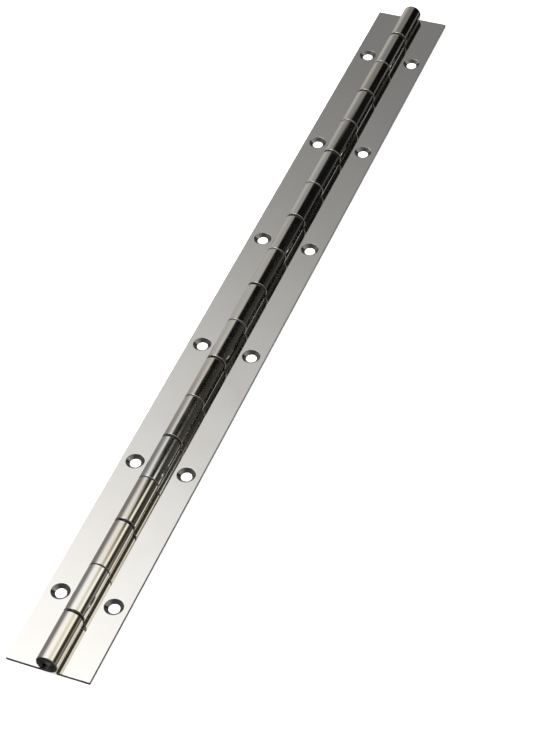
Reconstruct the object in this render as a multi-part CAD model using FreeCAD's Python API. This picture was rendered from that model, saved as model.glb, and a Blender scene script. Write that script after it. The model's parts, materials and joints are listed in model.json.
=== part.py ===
import FreeCAD, Part
import math
import os

# Continuous (piano) hinge, open flat, barrel up.
# Millimetres. X runs across the leaves, Y along the pin, +Z up out of the barrel side.
# The leaf backs lie on z = 0 and the pin runs over the middle of the origin.

# Driving dimensions
LENGTH = 300.0
OPEN_WIDTH = 25.0
SHEET = 1.0
BARREL_DIAMETER = 6.4
KNUCKLES = 18
PIN_RECESS = 1.2
PIN_CHAMFER = 0.3
EDGE_ROUND = 0.3

# Screw holes, countersunk from the barrel side
HOLES_PER_LEAF = 6
HOLE_END_DISTANCE = 25.0
HOLE_EDGE_DISTANCE = 4.4
HOLE_RADIUS = 1.65
COUNTERSINK_LAND = 0.1
COUNTERSINK_HALF_ANGLE = 50.0

# Fits
PIN_CLEARANCE = 0.06
LOOSE_JOINT_GAP = 0.6
CLOSE_JOINT_GAP = 0.1
SEAM_GAP = 0.15
NOTCH_CLEARANCE = 0.2
GRIP_LENGTH = 8.0

# Sizes that follow
BARREL_RADIUS = BARREL_DIAMETER / 2
BORE_RADIUS = BARREL_RADIUS - SHEET
PIN_RADIUS = BORE_RADIUS - PIN_CLEARANCE
AXIS_HEIGHT = BARREL_RADIUS
# The upper edge of each notch is level with the bottom of the bore and clears the other
# leaf's knuckle, so the barrel overhangs the notch.
NOTCH_EDGE = math.sqrt((BARREL_RADIUS + NOTCH_CLEARANCE) ** 2 - BORE_RADIUS ** 2)
HOLE_OFFSET = OPEN_WIDTH / 2 - HOLE_EDGE_DISTANCE
HOLE_PITCH = (LENGTH - 2 * HOLE_END_DISTANCE) / (HOLES_PER_LEAF - 1)
KNUCKLE_PITCH = LENGTH / KNUCKLES
SEAM_HEIGHT = AXIS_HEIGHT - SHEET - SEAM_GAP
LOOP_ANGLE = 270 + math.degrees(math.asin(SEAM_HEIGHT / BARREL_RADIUS))
OVERCUT = 1.0

ACROSS = FreeCAD.Vector(1, 0, 0)
ALONG = FreeCAD.Vector(0, 1, 0)
UP = FreeCAD.Vector(0, 0, 1)
ORIGIN = FreeCAD.Vector(0, 0, 0)
AXIS_POINT = FreeCAD.Vector(0, 0, AXIS_HEIGHT)


def joint_gap(joint):
    """The end play taken up on one side: odd joints stand open, even ones nearly touch."""
    return LOOSE_JOINT_GAP if joint % 2 else CLOSE_JOINT_GAP


def joint_y(joint):
    """Nominal place of a joint, counted from the +Y end."""
    return LENGTH / 2 - joint * KNUCKLE_PITCH


def knuckle_span(knuckle):
    """The near and far ends along Y of one knuckle, counted from 1 at the +Y end."""
    far = joint_y(knuckle - 1)
    near = joint_y(knuckle)
    if knuckle > 1:
        far -= joint_gap(knuckle - 1) / 2
    if knuckle < KNUCKLES:
        near += joint_gap(knuckle) / 2
    return near, far


def strip_section(near, far):
    """The sheet's cross-section under the axis, with its two outer corners rounded."""
    r = EDGE_ROUND
    k = r * (1 - math.sqrt(0.5))

    def at(y, z):
        return FreeCAD.Vector(0, y, z)

    edges = [
        Part.makeLine(at(near + r, 0), at(far - r, 0)),
        Part.Arc(at(far - r, 0), at(far - k, k), at(far, r)).toShape(),
        Part.makeLine(at(far, r), at(far, SHEET)),
        Part.makeLine(at(far, SHEET), at(near, SHEET)),
        Part.makeLine(at(near, SHEET), at(near, r)),
        Part.Arc(at(near, r), at(near + k, k), at(near + r, 0)).toShape(),
    ]
    return Part.Face(Part.Wire(edges))


def left_knuckle(knuckle):
    """One tongue of the left leaf: a flat neck, then the loop rolled round the pin."""
    section = strip_section(*knuckle_span(knuckle))
    loop = section.revolve(AXIS_POINT, -ALONG, LOOP_ANGLE)
    neck = section.extrude(-ACROSS * NOTCH_EDGE)
    return loop.fuse(neck)


def countersunk_hole(y):
    """The cut for one screw: a through hole and the cone for its head."""
    slope = math.tan(math.radians(COUNTERSINK_HALF_ANGLE))
    height = SHEET - COUNTERSINK_LAND + OVERCUT
    mouth = HOLE_RADIUS + height * slope
    foot = FreeCAD.Vector(-HOLE_OFFSET, y, COUNTERSINK_LAND)
    cone = Part.makeCone(HOLE_RADIUS, mouth, height, foot, UP)
    drill = Part.makeCylinder(HOLE_RADIUS, SHEET + 2 * OVERCUT, foot - UP * OVERCUT, UP)
    return drill.fuse(cone)


def hole_ys():
    """Places of the screw holes along the leaf, the outer two at the end distance."""
    first = HOLE_END_DISTANCE - LENGTH / 2
    return [first + i * HOLE_PITCH for i in range(HOLES_PER_LEAF)]


def left_leaf():
    """The leaf on -X, whose knuckles are the even ones."""
    width = OPEN_WIDTH / 2 - NOTCH_EDGE
    corner = FreeCAD.Vector(-OPEN_WIDTH / 2, -LENGTH / 2, 0)
    plate = Part.makeBox(width, LENGTH, SHEET, corner)
    # The holes are cut while the blank is flat, so that they never reach into a knuckle.
    plate = plate.cut(Part.makeCompound([countersunk_hole(y) for y in hole_ys()]))
    knuckles = [left_knuckle(k) for k in range(2, KNUCKLES + 1, 2)]
    leaf = plate.multiFuse(knuckles)
    return leaf.removeSplitter().Solids[0]


def right_leaf():
    """The same pressing turned end for end, so its knuckles are the odd ones."""
    leaf = left_leaf()
    leaf.rotate(ORIGIN, UP, 180)
    return leaf


def hinge_pin():
    """The pin, short of both barrel ends, with a grip band in the left leaf's end knuckle."""
    length = LENGTH - 2 * PIN_RECESS
    start = FreeCAD.Vector(0, -length / 2, AXIS_HEIGHT)
    rod = Part.makeCylinder(PIN_RADIUS, length, start, ALONG)
    ends = [e for e in rod.Edges if isinstance(e.Curve, Part.Circle)]
    rod = rod.makeChamfer(PIN_CHAMFER, ends)
    near, far = knuckle_span(KNUCKLES)
    foot = FreeCAD.Vector(0, (near + far - GRIP_LENGTH) / 2, AXIS_HEIGHT)
    grip = Part.makeCylinder(BORE_RADIUS, GRIP_LENGTH, foot, ALONG)
    return rod.fuse(grip).removeSplitter().Solids[0]


os.makedirs("parts", exist_ok=True)
left_leaf().exportStep("parts/left_leaf.step")
right_leaf().exportStep("parts/right_leaf.step")
hinge_pin().exportStep("parts/hinge_pin.step")
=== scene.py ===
import json
import math

import bpy
from mathutils import Matrix, Vector, geometry


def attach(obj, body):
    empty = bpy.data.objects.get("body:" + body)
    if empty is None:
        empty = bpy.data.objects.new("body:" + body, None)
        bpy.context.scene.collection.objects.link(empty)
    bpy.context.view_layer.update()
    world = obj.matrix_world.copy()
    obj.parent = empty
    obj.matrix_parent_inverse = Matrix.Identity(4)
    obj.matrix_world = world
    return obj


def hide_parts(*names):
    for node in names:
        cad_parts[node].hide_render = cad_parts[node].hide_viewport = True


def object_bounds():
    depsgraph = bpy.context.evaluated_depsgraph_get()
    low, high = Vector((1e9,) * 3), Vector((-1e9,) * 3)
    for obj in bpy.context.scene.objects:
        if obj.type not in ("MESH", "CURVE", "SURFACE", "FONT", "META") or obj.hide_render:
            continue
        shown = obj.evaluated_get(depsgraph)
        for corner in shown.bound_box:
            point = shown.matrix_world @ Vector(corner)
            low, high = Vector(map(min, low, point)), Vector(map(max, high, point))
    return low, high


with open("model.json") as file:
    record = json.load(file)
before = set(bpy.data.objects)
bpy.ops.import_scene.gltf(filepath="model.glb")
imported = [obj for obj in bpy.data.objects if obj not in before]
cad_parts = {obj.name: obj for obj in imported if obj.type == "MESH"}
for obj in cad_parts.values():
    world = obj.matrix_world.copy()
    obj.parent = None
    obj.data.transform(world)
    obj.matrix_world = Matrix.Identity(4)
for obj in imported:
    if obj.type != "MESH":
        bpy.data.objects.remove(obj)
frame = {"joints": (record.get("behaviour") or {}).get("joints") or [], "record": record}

CAD_LOW, CAD_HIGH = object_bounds()

# A continuous hinge in polished stainless steel, open flat with its barrel up.
# Metres. X runs across the leaves, Y along the pin, Z up, with the leaf backs on z = 0.

MM = 0.001

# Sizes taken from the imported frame
MOUNTS = {mount["name"]: mount for mount in frame["record"]["mounts"]}
LENGTH = CAD_HIGH.y - CAD_LOW.y
OPEN_WIDTH = CAD_HIGH.x - CAD_LOW.x
AXIS_HEIGHT = frame["joints"][0]["pos_m"][2]
BARREL_RADIUS = AXIS_HEIGHT
HOLE_RADIUS = MOUNTS["left_screws_outer"]["dims"]["hole_r_mm"] * MM
HOLE_OFFSET = abs(MOUNTS["left_screws_outer"]["pos_m"][0])

# Sizes that the frame doesn't state
SHEET = 1.0 * MM
KNUCKLES = 18
LOOSE_JOINT_GAP = 0.6 * MM
CLOSE_JOINT_GAP = 0.1 * MM
SEAM_GAP = 0.15 * MM
NOTCH_CLEARANCE = 0.2 * MM
COUNTERSINK_LAND = 0.1 * MM
COUNTERSINK_HALF_ANGLE = math.radians(50.0)
PIN_RECESS = 1.2 * MM
PIN_CHAMFER = 0.3 * MM
PIN_CLEARANCE = 0.06 * MM
PIN_DOME_HEIGHT = 0.04 * MM
PIN_DOME_FLAT = 0.85
GRIP_LENGTH = 8.0 * MM
GRIP_SLOPE = 0.05 * MM

# Edges: the outer one is rounded by rolling, the inner one is nearly sharp
OUTER_ROUND = 0.3 * MM
INNER_ROUND = 0.08 * MM
RIM_ROUND = 0.12 * MM
ROUND_STEPS = 6
LOOP_STEP = math.radians(2.0)
HOLE_STEPS = 96
PIN_STEPS = 96

# Triangles of less than half this many square metres are left out
SLIVER = 1e-15

# Corners that turn by more than CREASE stay sharp. At the others a flat face's own
# direction counts FLAT_LEAD times more than its neighbours' do.
CREASE = math.radians(32.0)
FLAT_LEAD = 1000.0

# How deep the steel's waves, peel, polishing lines, cut lines, turned rings and drawing
# lines are bumped
WAVE_DEPTH = 0.012 * MM
PEEL_DEPTH = 0.0012 * MM
SCORE_DEPTH = 0.0006 * MM
SHEAR_DEPTH = 0.02 * MM
RING_DEPTH = 0.0012 * MM
RING_PITCH = 0.11 * MM
DRAWN_DEPTH = 0.004 * MM

# The camera's place, in metres, and the way it points
CAMERA_AZIMUTH = math.radians(24.655)
CAMERA_ELEVATION = math.radians(46.351)
CAMERA_ROLL = math.radians(-4.291)
CAMERA_PLACE = (0.19264, -0.41044, 0.44258)
CAMERA_LENS = 98.67
CAMERA_SENSOR = 36.0

# The stage
FLOOR_SIZE = 12.0
FLOOR_GAP = 0.02 * MM
FLOOR_GLOW = 0.35
BACKDROP_RADIUS = 5.5
LIGHT_SIZE = 1.2
LIGHT_WATTS = 14.0
LIGHT_PLACE = (-0.3, -0.2, 1.2)

# Sizes that follow
BORE_RADIUS = BARREL_RADIUS - SHEET
NOTCH_EDGE = math.sqrt((BARREL_RADIUS + NOTCH_CLEARANCE) ** 2 - BORE_RADIUS ** 2)
KNUCKLE_PITCH = LENGTH / KNUCKLES
SEAM_ANGLE = math.asin((AXIS_HEIGHT - SHEET - SEAM_GAP) / BARREL_RADIUS)
LOOP_ANGLE = 1.5 * math.pi + SEAM_ANGLE
RIM_RADIUS = HOLE_RADIUS + (SHEET - COUNTERSINK_LAND) * math.tan(COUNTERSINK_HALF_ANGLE)

# A leaf's materials, in the order of its material slots. The pin's one takes the first.
FACE, SHEARED, COUNTERSUNK, ROLLED, BORE = range(5)


# ---------------------------------------------------------------- node helpers

def node(tree, kind, **settings):
    """A new node with its properties set."""
    made = tree.nodes.new(kind)
    for name, value in settings.items():
        setattr(made, name, value)
    return made


def put(tree, socket, value):
    """Links value into socket when it is a socket, and sets it otherwise."""
    if isinstance(value, bpy.types.NodeSocket):
        tree.links.new(value, socket)
    else:
        socket.default_value = value


def maths(tree, operation, a, b=0.0):
    """The result of one sum on sockets or numbers."""
    made = node(tree, "ShaderNodeMath", operation=operation)
    put(tree, made.inputs[0], a)
    put(tree, made.inputs[1], b)
    return made.outputs[0]


def step_up(tree, value, low, high):
    """0 below low, 1 above high, smooth between."""
    made = node(tree, "ShaderNodeMapRange", interpolation_type="SMOOTHSTEP")
    put(tree, made.inputs["Value"], value)
    put(tree, made.inputs["From Min"], low)
    put(tree, made.inputs["From Max"], high)
    return made.outputs[0]


def spread(tree, value, low, high, to_low, to_high):
    """value moved in a straight line from one range to another, held at its ends."""
    made = node(tree, "ShaderNodeMapRange")
    put(tree, made.inputs["Value"], value)
    for name, number in zip(("From Min", "From Max", "To Min", "To Max"), (low, high, to_low, to_high)):
        put(tree, made.inputs[name], number)
    return made.outputs[0]


def blend_colour(tree, factor, a, b):
    """Colour a where factor is 0 and b where it is 1."""
    made = node(tree, "ShaderNodeMix", data_type="RGBA")
    put(tree, made.inputs["Factor"], factor)
    put(tree, made.inputs["A"], a)
    put(tree, made.inputs["B"], b)
    return made.outputs["Result"]


def grey(level, tint=(1.0, 1.0, 1.0)):
    """A colour of one brightness, tinted."""
    return tuple(level * t for t in tint) + (1.0,)


def noise(tree, vector, scale, detail=3.0, roughness=0.5):
    """A soft random value, from 0 to 1, that changes from place to place."""
    made = node(tree, "ShaderNodeTexNoise")
    put(tree, made.inputs["Vector"], vector)
    put(tree, made.inputs["Scale"], scale)
    put(tree, made.inputs["Detail"], detail)
    put(tree, made.inputs["Roughness"], roughness)
    return made.outputs["Fac"]


def stretched(tree, scale):
    """Object coordinates with a scale for each axis, for grain that runs one way."""
    coordinates = node(tree, "ShaderNodeTexCoord")
    mapping = node(tree, "ShaderNodeMapping")
    tree.links.new(coordinates.outputs["Object"], mapping.inputs["Vector"])
    mapping.inputs["Scale"].default_value = scale
    return mapping.outputs["Vector"]


def bumped(tree, height, distance, under=None):
    """A bumped normal, on top of another one if it is given."""
    made = node(tree, "ShaderNodeBump")
    put(tree, made.inputs["Height"], height)
    made.inputs["Distance"].default_value = distance
    made.inputs["Strength"].default_value = 1.0
    if under:
        tree.links.new(under, made.inputs["Normal"])
    return made.outputs["Normal"]


def new_material(name):
    """An all-metal material, its node tree and its shader."""
    material = bpy.data.materials.new(name)
    material.use_nodes = True
    shader = material.node_tree.nodes["Principled BSDF"]
    shader.inputs["Metallic"].default_value = 1.0
    return material, material.node_tree, shader


# ---------------------------------------------------------------- materials

STEEL = (0.80, 0.79, 0.77)
STEEL_WARM = (0.76, 0.74, 0.71)
STEEL_ROLLED = (0.78, 0.73, 0.66)


def knuckle_tone(tree):
    """A random value for each knuckle's length of the barrel, 0 to 1."""
    place = node(tree, "ShaderNodeSeparateXYZ")
    tree.links.new(stretched(tree, (1.0, 1.0, 1.0)), place.inputs[0])
    count = maths(tree, "DIVIDE", maths(tree, "ADD", place.outputs["Y"], LENGTH / 2), KNUCKLE_PITCH)
    dice = node(tree, "ShaderNodeTexWhiteNoise", noise_dimensions="1D")
    put(tree, dice.inputs["W"], maths(tree, "FLOOR", count))
    return dice.outputs["Value"]


def polished_steel(name, tone_by_knuckle=False):
    """Mirror-polished sheet: long waves, faint peel and polishing lines, wiped smears."""
    material, tree, shader = new_material(name)
    plain = stretched(tree, (1.0, 1.0, 1.0))
    along = stretched(tree, (1.0, 0.03, 1.0))
    smears = noise(tree, plain, 60.0, 4.0, 0.6)
    lines = noise(tree, along, 9000.0, 2.0, 0.6)
    tone = spread(tree, smears, 0.3, 0.7, 0.0, 1.0)
    sheet = blend_colour(tree, tone, grey(1.0, STEEL), grey(1.0, STEEL_WARM))
    if tone_by_knuckle:
        sheet = blend_colour(tree, knuckle_tone(tree), sheet, grey(0.92, STEEL_ROLLED))
    put(tree, shader.inputs["Base Color"], sheet)
    rough = spread(tree, smears, 0.35, 0.75, 0.045, 0.10)
    fine = spread(tree, lines, 0.3, 0.7, 0.0, 0.03)
    put(tree, shader.inputs["Roughness"], maths(tree, "ADD", rough, fine))
    wave = bumped(tree, noise(tree, plain, 45.0, 1.0, 0.4), WAVE_DEPTH)
    peel = bumped(tree, noise(tree, plain, 700.0, 2.0, 0.5), PEEL_DEPTH, under=wave)
    scored = bumped(tree, lines, SCORE_DEPTH, under=peel)
    put(tree, shader.inputs["Normal"], scored)
    return material


def sheared_steel_painted_dark():
    """Cut edge: a burnished band over a torn one, with fine lines across the thickness. Both bands are
    coloured far darker than the steel, a painted dark reflection on the cut edges and the barrel's
    ends.
    """
    material, tree, shader = new_material("sheared_edge_painted_dark")
    across = stretched(tree, (1.0, 1.0, 0.06))
    lines = noise(tree, across, 4500.0, 3.0, 0.6)
    position = node(tree, "ShaderNodeSeparateXYZ")
    tree.links.new(stretched(tree, (1.0, 1.0, 1.0)), position.inputs[0])
    torn = step_up(tree, position.outputs["Z"], 0.55 * SHEET, 0.35 * SHEET)
    # Painted dark reflection: the burnished band is set at 0.36 and the torn one at 0.20 of the steel's
    # colour
    colour = blend_colour(tree, torn, grey(0.36, STEEL), grey(0.20, STEEL_WARM))
    put(tree, shader.inputs["Base Color"], blend_colour(tree, lines, colour, grey(0.42, STEEL)))
    put(tree, shader.inputs["Roughness"], spread(tree, torn, 0.0, 1.0, 0.28, 0.48))
    put(tree, shader.inputs["Normal"], bumped(tree, lines, SHEAR_DEPTH))
    return material


def countersunk_steel_painted_shade():
    """Turned cone: fine rings round each hole, read from the mesh's own radius attribute. The cone is
    coloured far darker than the face, painted shade and painted dark reflection in the holes.
    """
    material, tree, shader = new_material("countersunk_cone_painted_shade")
    radius = node(tree, "ShaderNodeAttribute", attribute_name="hole_radius").outputs["Fac"]
    wobble = maths(tree, "MULTIPLY", noise(tree, stretched(tree, (1.0, 1.0, 1.0)), 900.0), 1.4)
    phase = maths(tree, "ADD", maths(tree, "MULTIPLY", radius, 2.0 * math.pi / RING_PITCH), wobble)
    rings = maths(tree, "SINE", phase)
    # Painted shade in the holes: the cone walls are coloured at 0.22 to 0.32 of the steel's colour
    put(tree, shader.inputs["Base Color"], blend_colour(
        tree, spread(tree, rings, -1.0, 1.0, 0.0, 1.0), grey(0.22, STEEL), grey(0.32, STEEL)))
    put(tree, shader.inputs["Roughness"], spread(tree, rings, -1.0, 1.0, 0.16, 0.26))
    put(tree, shader.inputs["Normal"], bumped(tree, rings, RING_DEPTH))
    return material


def dull_steel(name, level, smoothest, roughest):
    """Unpolished metal inside the knuckles and on the pin, with drawing lines along Y."""
    material, tree, shader = new_material(name)
    lines = noise(tree, stretched(tree, (1.0, 0.04, 1.0)), 5000.0, 3.0, 0.6)
    specks = noise(tree, stretched(tree, (1.0, 1.0, 1.0)), 1500.0, 2.0)
    put(tree, shader.inputs["Base Color"], blend_colour(
        tree, specks, grey(level, STEEL_WARM), grey(0.8 * level, STEEL_WARM)))
    put(tree, shader.inputs["Roughness"], spread(tree, lines, 0.3, 0.7, smoothest, roughest))
    put(tree, shader.inputs["Normal"], bumped(tree, lines, DRAWN_DEPTH))
    return material


# ---------------------------------------------------------------- leaf mesh

def joint_gap(joint):
    """Odd joints, counted from the +Y end, stand open, and even ones nearly touch."""
    return LOOSE_JOINT_GAP if joint % 2 else CLOSE_JOINT_GAP


def knuckle_span(knuckle):
    """Near and far ends along Y of a knuckle, counted from 1 at the +Y end."""
    far = LENGTH / 2 - (knuckle - 1) * KNUCKLE_PITCH
    near = far - KNUCKLE_PITCH
    if knuckle > 1:
        far -= joint_gap(knuckle - 1) / 2
    if knuckle < KNUCKLES:
        near += joint_gap(knuckle) / 2
    return near, far


def rolled(u, y, s):
    """A point of the flat blank, rolled up round the pin where u is past the tangent line.

    u runs across the blank, y along it, and s through the sheet from its back.
    """
    if u <= 0:
        return Vector((u, y, s))
    angle, reach = u / BARREL_RADIUS, BARREL_RADIUS - s
    return Vector((reach * math.sin(angle), y, AXIS_HEIGHT - reach * math.cos(angle)))


def edge_profile():
    """(height in the sheet, inset from the outline) from the back face up to the front face."""
    quarter = [i * math.pi / 2 / ROUND_STEPS for i in range(ROUND_STEPS + 1)]
    back = [(OUTER_ROUND * (1 - math.cos(a)), OUTER_ROUND * (1 - math.sin(a))) for a in quarter]
    r = INNER_ROUND
    front = [(SHEET - r * (1 - math.sin(a)), r * (1 - math.cos(a))) for a in quarter]
    return back + front


def loop_stations():
    """Places along u down a tongue's side, after its root and before its free end."""
    steps = math.ceil(LOOP_ANGLE / LOOP_STEP)
    return [BARREL_RADIUS * LOOP_ANGLE * i / steps for i in range(steps)]


def tongue_outline(near, far):
    """One tongue's share of the outline, as (u, y, way the edge insets in u, and in y)."""
    tip = BARREL_RADIUS * LOOP_ANGLE
    root = (-NOTCH_EDGE, near, -1, 1)
    out = [(u, near, 0, 1) for u in loop_stations()] + [(tip, near, -1, 1)]
    back = [(tip, far, -1, -1)] + [(u, far, 0, -1) for u in reversed(loop_stations())]
    close = (-NOTCH_EDGE, far, -1, -1)
    return [root] + out + back + [close]


def blank_outline():
    """The outline of the left leaf's blank, anticlockwise, and the index range of each tongue."""
    half_width, half_length = OPEN_WIDTH / 2, LENGTH / 2
    points = [(-half_width, -half_length, 1, 1)]
    tongues = []
    for knuckle in range(KNUCKLES, 0, -2):
        near, far = knuckle_span(knuckle)
        start = len(points)
        points += tongue_outline(near, far)
        tongues.append((start, len(points) - 1))
    points.append((-NOTCH_EDGE, half_length, -1, -1))
    points.append((-half_width, half_length, 1, -1))
    return points, tongues


def hole_profile():
    """(radius, height) down the wall of a countersunk hole, from the front face to the back."""
    r = RIM_ROUND
    return [
        (RIM_RADIUS + r, SHEET),
        (RIM_RADIUS + 0.3 * r, SHEET - 0.2 * r),
        (RIM_RADIUS - 0.5 * r, SHEET - 0.7 * r),
        (HOLE_RADIUS + 0.5 * r, COUNTERSINK_LAND + 0.5 * r),
        (HOLE_RADIUS, COUNTERSINK_LAND - 0.4 * r),
        (HOLE_RADIUS, r),
        (HOLE_RADIUS + 0.3 * r, 0.3 * r),
        (HOLE_RADIUS + r, 0.0),
    ]


def hole_ys():
    """Places along Y of a leaf's holes, from the record's three pairs."""
    names = ("left_screws_outer", "left_screws_middle", "left_screws_inner")
    halves = [MOUNTS[name]["dims"]["spacing_y_mm"] * MM / 2 for name in names]
    return sorted([-h for h in halves] + halves)


class Builder:
    """Collects a mesh's points, faces, face materials and each point's distance from its hole."""

    def __init__(self):
        self.points, self.faces, self.slots, self.radii = [], [], [], []

    def point(self, place, radius=0.0):
        self.points.append(place)
        self.radii.append(radius)
        return len(self.points) - 1

    def face(self, corners, slot):
        self.faces.append(corners)
        self.slots.append(slot)

    def band(self, lower, upper, slot):
        """Quads between two closed rings of as many points each."""
        count = len(lower)
        for i in range(count):
            j = (i + 1) % count
            self.face((lower[i], lower[j], upper[j], upper[i]), slot)

    def mesh(self, name, materials):
        mesh = bpy.data.meshes.new(name)
        mesh.from_pydata(self.points, [], self.faces)
        for material in materials:
            mesh.materials.append(material)
        mesh.polygons.foreach_set("material_index", self.slots)
        attribute = mesh.attributes.new("hole_radius", "FLOAT", "POINT")
        attribute.data.foreach_set("value", self.radii)
        mesh.update()
        return mesh


def fill_plate(builder, outer, holes, slot, facing_up):
    """Triangles over the flat part of one face of the sheet, leaving out the holes."""
    loops = [[Vector((*builder.points[i].xy, 0.0)) for i in loop] for loop in [outer] + holes]
    order = [i for loop in [outer] + holes for i in loop]
    for a, b, c in geometry.tessellate_polygon(loops):
        i, j, k = order[a], order[b], order[c]
        p, q, r = (builder.points[n].xy for n in (i, j, k))
        turn = (q - p).cross(r - p)
        if abs(turn) < SLIVER:
            continue
        builder.face((i, j, k) if (turn > 0) == facing_up else (k, j, i), slot)


def hole_ring(builder, y, radius, height):
    """One ring of points round the hole at y."""
    ring = []
    for i in range(HOLE_STEPS):
        a = 2 * math.pi * i / HOLE_STEPS
        place = Vector((-HOLE_OFFSET + radius * math.cos(a), y + radius * math.sin(a), height))
        ring.append(builder.point(place, radius))
    return ring


def leaf_mesh(name, materials):
    """The left leaf as one closed skin: edges, plate with holes, and nine rolled tongues."""
    builder = Builder()
    outline, tongues = blank_outline()
    rings = []
    for height, inset in edge_profile():
        ring = []
        for u, y, du, dy in outline:
            ring.append(builder.point(rolled(u + du * inset, y + dy * inset, height)))
        rings.append(ring)
    for lower, upper in zip(rings, rings[1:]):
        builder.band(lower, upper, SHEARED)

    hole_rings = []
    for y in hole_ys():
        levels = [hole_ring(builder, y, radius, height) for radius, height in hole_profile()]
        for upper, lower in zip(levels, levels[1:]):
            builder.band(upper, lower, COUNTERSUNK)
        hole_rings.append((levels[0], levels[-1]))

    inside_tongue = {i for start, end in tongues for i in range(start + 1, end)}
    plate = [i for i in range(len(outline)) if i not in inside_tongue]
    for ring, which, facing_up in ((rings[-1], 0, True), (rings[0], 1, False)):
        holes = [levels[which] for levels in hole_rings]
        fill_plate(builder, [ring[i] for i in plate], holes, FACE, facing_up)
        for start, end in tongues:
            pairs = [(start + m, end - m) for m in range((end - start + 1) // 2)]
            for step, ((a, d), (b, c)) in enumerate(zip(pairs, pairs[1:])):
                corners = (ring[a], ring[b], ring[c], ring[d])
                slot = FACE if step == 0 else (BORE if facing_up else ROLLED)
                builder.face(corners if facing_up else corners[::-1], slot)
    return builder.mesh(name, materials)


def finish_shading(mesh):
    """Smooth over the small facets, sharp at real corners, flats and long faces kept true."""
    mesh.shade_smooth()
    mesh.set_sharp_from_angle(angle=CREASE)
    around = {}
    for face in mesh.polygons:
        for vertex in face.vertices:
            around.setdefault(vertex, []).append(face)
    normals = []
    for face in mesh.polygons:
        for corner in face.loop_indices:
            total = Vector((0.0, 0.0, 0.0))
            for other in around[mesh.loops[corner].vertex_index]:
                if other.normal.dot(face.normal) > math.cos(CREASE):
                    lead = FLAT_LEAD if other.material_index == FACE else 1.0
                    total += other.normal * other.area * lead
            normals.append(total.normalized())
    mesh.normals_split_custom_set(normals)


def add_piece(mesh, body, cad_node):
    """Shades a mesh, puts it in the scene, ties it to its body and hides its CAD node."""
    finish_shading(mesh)
    piece = bpy.data.objects.new(mesh.name, mesh)
    bpy.context.scene.collection.objects.link(piece)
    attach(piece, body)
    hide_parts(cad_node)


# ---------------------------------------------------------------- pin mesh

def pin_profile():
    """(y, radius) along the pin, from its near end to its far end, ends slightly domed."""
    radius = BORE_RADIUS - PIN_CLEARANCE
    end = LENGTH / 2 - PIN_RECESS
    near, far = knuckle_span(KNUCKLES)
    grip_near = (near + far) / 2 - GRIP_LENGTH / 2
    grip_far = (near + far) / 2 + GRIP_LENGTH / 2
    rim = radius - PIN_CHAMFER
    return [
        (-end, 0.0),
        (-end, PIN_DOME_FLAT * rim),
        (-end + PIN_DOME_HEIGHT, rim),
        (-end + PIN_CHAMFER, radius),
        (grip_near - GRIP_SLOPE, radius),
        (grip_near, BORE_RADIUS),
        (grip_far, BORE_RADIUS),
        (grip_far + GRIP_SLOPE, radius),
        (end - PIN_CHAMFER, radius),
        (end - PIN_DOME_HEIGHT, rim),
        (end, PIN_DOME_FLAT * rim),
        (end, 0.0),
    ]


def pin_mesh(name, materials):
    """The pin as one closed turned skin, each end drawn in to a single point."""
    builder = Builder()
    rings = []
    for y, radius in pin_profile():
        if radius == 0.0:
            rings.append([builder.point(Vector((0.0, y, AXIS_HEIGHT)))] * PIN_STEPS)
            continue
        rings.append([
            builder.point(Vector((radius * math.sin(a), y, AXIS_HEIGHT + radius * math.cos(a))))
            for a in (2 * math.pi * i / PIN_STEPS for i in range(PIN_STEPS))
        ])
    for near, far in zip(rings, rings[1:]):
        for i in range(PIN_STEPS):
            j = (i + 1) % PIN_STEPS
            corners = [near[i], near[j], far[j], far[i]]
            unique = [c for n, c in enumerate(corners) if c not in corners[:n]]
            builder.face(tuple(unique), FACE)
    return builder.mesh(name, materials)


# ---------------------------------------------------------------- the object

def build_hinge():
    """Both leaves and the pin. The right leaf is the left one turned end for end."""
    leaf_materials = [
        polished_steel("polished_face"),
        sheared_steel_painted_dark(),
        countersunk_steel_painted_shade(),
        polished_steel("polished_barrel", tone_by_knuckle=True),
        dull_steel("knuckle_bore", level=0.45, smoothest=0.35, roughest=0.5),
    ]
    left = leaf_mesh("left_leaf_sheet", leaf_materials)
    right = leaf_mesh("right_leaf_sheet", leaf_materials)
    right.transform(Matrix.Rotation(math.pi, 4, "Z"))
    add_piece(left, "left_side", "left_leaf")
    add_piece(right, "right_side", "right_leaf")
    drawn = dull_steel("drawn_steel", level=0.55, smoothest=0.25, roughest=0.4)
    pin = pin_mesh("drawn_pin", [drawn])
    add_piece(pin, "left_side", "hinge_pin")


# ---------------------------------------------------------------- what the steel mirrors

def window(tree, value, low, high, soft):
    """1 between low and high and 0 outside. Each border is a smooth step as wide as soft."""
    rise = step_up(tree, value, low - soft / 2, low + soft / 2)
    fall = step_up(tree, value, high - soft / 2, high + soft / 2)
    return maths(tree, "SUBTRACT", rise, fall)


# Tints of the panel and cards
NEUTRAL = (1.0, 0.995, 0.985)
DARK = (0.94, 0.97, 1.0)
OLIVE = (1.0, 0.98, 0.84)

# Brightness of the overhead panel by how far a direction leans along the hinge:
# -1 is straight back towards the near end, 0 is overhead or sideways, 1 is the far end.
PANEL = [
    (-1.0, 0.50), (-0.85, 0.45), (-0.75, 0.15), (-0.5, 0.15), (-0.3, 0.5), (0.0, 0.8), (0.2, 1.0),
    (0.4, 1.35), (0.486, 1.28), (0.539, 1.06), (0.586, 0.80), (0.636, 0.57), (0.686, 0.36),
    (0.746, 0.235), (0.85, 0.24), (1.0, 0.30),
]

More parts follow.
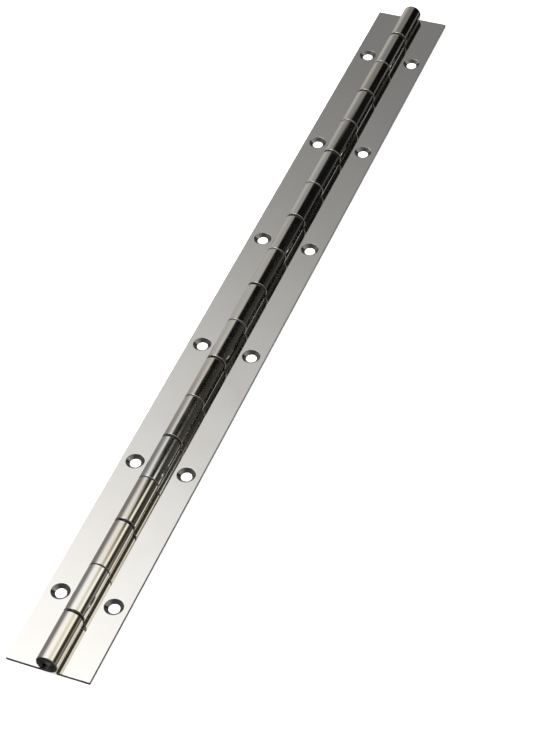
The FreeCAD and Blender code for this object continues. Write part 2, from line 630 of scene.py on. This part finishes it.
# Cards hung round the hinge, each over the ones before. Angles are degrees round the pin,
# from straight up towards the right leaf; leans are as in PANEL.
# (from angle, to angle, soft angle, from lean, to lean, soft lean, level, tint)
CARDS = [
    # The wall on the left, darker everywhere but towards the far end
    (-400, -55, 40, -2, 2, 0.1, 0.50, NEUTRAL),
    (-400, -52, 60, -2, 0.60, 0.06, 0.24, NEUTRAL),
    # A warm panel high on the right, with a duller patch and a dark one in its left part
    (14, 70, 30, 0.28, 0.59, 0.02, 1.25, OLIVE),
    (8, 34, 16, 0.38, 0.59, 0.02, 0.95, OLIVE),
    (10, 36, 14, 0.532, 0.60, 0.05, 0.02, NEUTRAL),
    # A small bright light high on the left, which the knuckles' rounded edges catch
    (-40, -8, 12, 0.0, 0.38, 0.12, 9.0, NEUTRAL),
    # A black flag overhead and high on the right, further towards the far end
    (-18, 80, 9, 0.572, 0.620, 0.014, 0.006, DARK),
    (-6, 36, 22, 0.556, 0.590, 0.014, 0.010, DARK),
    (-12, 80, 22, 0.572, 0.720, 0.014, 0.006, DARK),
    (10, 80, 14, 0.715, 0.84, 0.014, 0.005, DARK),
    # Dark low on the right, and grey there towards the near end
    (57, 400, 15, 0.28, 0.665, 0.03, 0.045, OLIVE),
    (70, 400, 20, 0.655, 0.86, 0.03, 0.006, NEUTRAL),
    (58, 400, 14, -2, 0.28, 0.2, 0.30, NEUTRAL),
    # A strip of table just under the level of the hinge on the right
    (91, 112, 6, 0.28, 0.54, 0.03, 0.28, OLIVE),
    (88, 112, 8, 0.54, 0.66, 0.03, 0.06, NEUTRAL),
    (88, 112, 8, 0.66, 0.73, 0.01, 0.07, NEUTRAL),
    (88, 108, 6, 0.73, 0.86, 0.01, 0.17, NEUTRAL),
    # Dark low on the left towards the near end, and pale underneath towards the far end
    (-400, -100, 40, -2, -0.35, 0.2, 0.02, DARK),
    (140, 400, 14, 0.575, 2, 0.04, 0.60, NEUTRAL),
]


def studio_world():
    """What the steel mirrors: a panel overhead that darkens towards the far end, with cards."""
    world = bpy.data.worlds.new("studio")
    bpy.context.scene.world = world
    world.use_nodes = True
    tree = world.node_tree
    background = tree.nodes["Background"]
    direction = node(tree, "ShaderNodeSeparateXYZ")
    tree.links.new(node(tree, "ShaderNodeTexCoord").outputs["Generated"], direction.inputs[0])
    lean = direction.outputs["Y"]
    angle = maths(tree, "ARCTAN2", direction.outputs["X"], direction.outputs["Z"])

    ramp = node(tree, "ShaderNodeValToRGB")
    put(tree, ramp.inputs["Fac"], spread(tree, lean, -1.0, 1.0, 0.0, 1.0))
    elements = ramp.color_ramp.elements
    elements.remove(elements[0])
    for i, (place, level) in enumerate(PANEL):
        element = elements[0] if i == 0 else elements.new((place + 1) / 2)
        element.position = (place + 1) / 2
        element.color = grey(level, NEUTRAL)
    sky = ramp.outputs["Color"]

    for angle_low, angle_high, angle_soft, lean_low, lean_high, lean_soft, level, tint in CARDS:
        round_pin = window(tree, angle, *(math.radians(a) for a in (angle_low, angle_high, angle_soft)))
        along_pin = window(tree, lean, lean_low, lean_high, lean_soft)
        sky = blend_colour(tree, maths(tree, "MULTIPLY", round_pin, along_pin), sky, grey(level, tint))
    put(tree, background.inputs["Color"], sky)


# ---------------------------------------------------------------- stage, light, camera

def stage_floor():
    """A plain pale floor and backdrop. The steel mirrors the studio above instead of them."""
    material = bpy.data.materials.new("pale_floor")
    material.use_nodes = True
    tree = material.node_tree
    shader = tree.nodes["Principled BSDF"]
    mottle = noise(tree, stretched(tree, (1.0, 1.0, 1.0)), 30.0, 2.0)
    put(tree, shader.inputs["Base Color"], blend_colour(tree, mottle, grey(0.93), grey(0.95)))
    shader.inputs["Roughness"].default_value = 0.9
    shader.inputs["Specular IOR Level"].default_value = 0.0
    shader.inputs["Emission Color"].default_value = grey(1.0)
    shader.inputs["Emission Strength"].default_value = FLOOR_GLOW

    bpy.ops.mesh.primitive_plane_add(size=FLOOR_SIZE, location=(0.0, 0.0, -FLOOR_GAP))
    floor = bpy.context.object
    floor.name = "floor"
    floor.data.materials.append(material)
    floor.visible_glossy = False

    glow = bpy.data.materials.new("pale_backdrop")
    glow.use_nodes = True
    glow.node_tree.nodes.remove(glow.node_tree.nodes["Principled BSDF"])
    emission = node(glow.node_tree, "ShaderNodeEmission")
    emission.inputs["Color"].default_value = grey(0.96)
    output = glow.node_tree.nodes["Material Output"]
    glow.node_tree.links.new(emission.outputs[0], output.inputs["Surface"])
    bpy.ops.mesh.primitive_uv_sphere_add(radius=BACKDROP_RADIUS, segments=64, ring_count=32)
    backdrop = bpy.context.object
    backdrop.name = "backdrop"
    backdrop.data.materials.append(glow)
    for visibility in ("visible_diffuse", "visible_glossy", "visible_transmission", "visible_shadow"):
        setattr(backdrop, visibility, False)


def soft_light():
    """A large soft light overhead. It lights the floor; the steel mirrors the panel instead."""
    light = bpy.data.lights.new("overhead", "AREA")
    light.shape = "RECTANGLE"
    light.size = LIGHT_SIZE
    light.size_y = LIGHT_SIZE
    light.energy = LIGHT_WATTS
    lamp = bpy.data.objects.new("overhead", light)
    lamp.location = LIGHT_PLACE
    lamp.rotation_euler = (-lamp.location).to_track_quat("-Z", "Y").to_euler()
    lamp.visible_glossy = False
    bpy.context.scene.collection.objects.link(lamp)


def photo_camera():
    """Over the near right corner, looking along the hinge towards its far end."""
    back = Vector((
        math.sin(CAMERA_AZIMUTH) * math.cos(CAMERA_ELEVATION),
        -math.cos(CAMERA_AZIMUTH) * math.cos(CAMERA_ELEVATION),
        math.sin(CAMERA_ELEVATION),
    ))
    level = Vector((math.cos(CAMERA_AZIMUTH), math.sin(CAMERA_AZIMUTH), 0.0))
    upright = back.cross(level)
    right = level * math.cos(CAMERA_ROLL) + upright * math.sin(CAMERA_ROLL)
    up = upright * math.cos(CAMERA_ROLL) - level * math.sin(CAMERA_ROLL)
    data = bpy.data.cameras.new("camera")
    data.lens = CAMERA_LENS
    data.sensor_width = CAMERA_SENSOR
    data.clip_start = 0.01
    data.clip_end = 50.0
    camera = bpy.data.objects.new("camera", data)
    turn = Matrix((right, up, back)).transposed().to_4x4()
    camera.matrix_world = Matrix.Translation(CAMERA_PLACE) @ turn
    bpy.context.scene.collection.objects.link(camera)
    bpy.context.scene.camera = camera


bpy.context.scene.view_settings.view_transform = "Standard"
build_hinge()
studio_world()
stage_floor()
soft_light()
photo_camera()

bpy.context.view_layer.update()
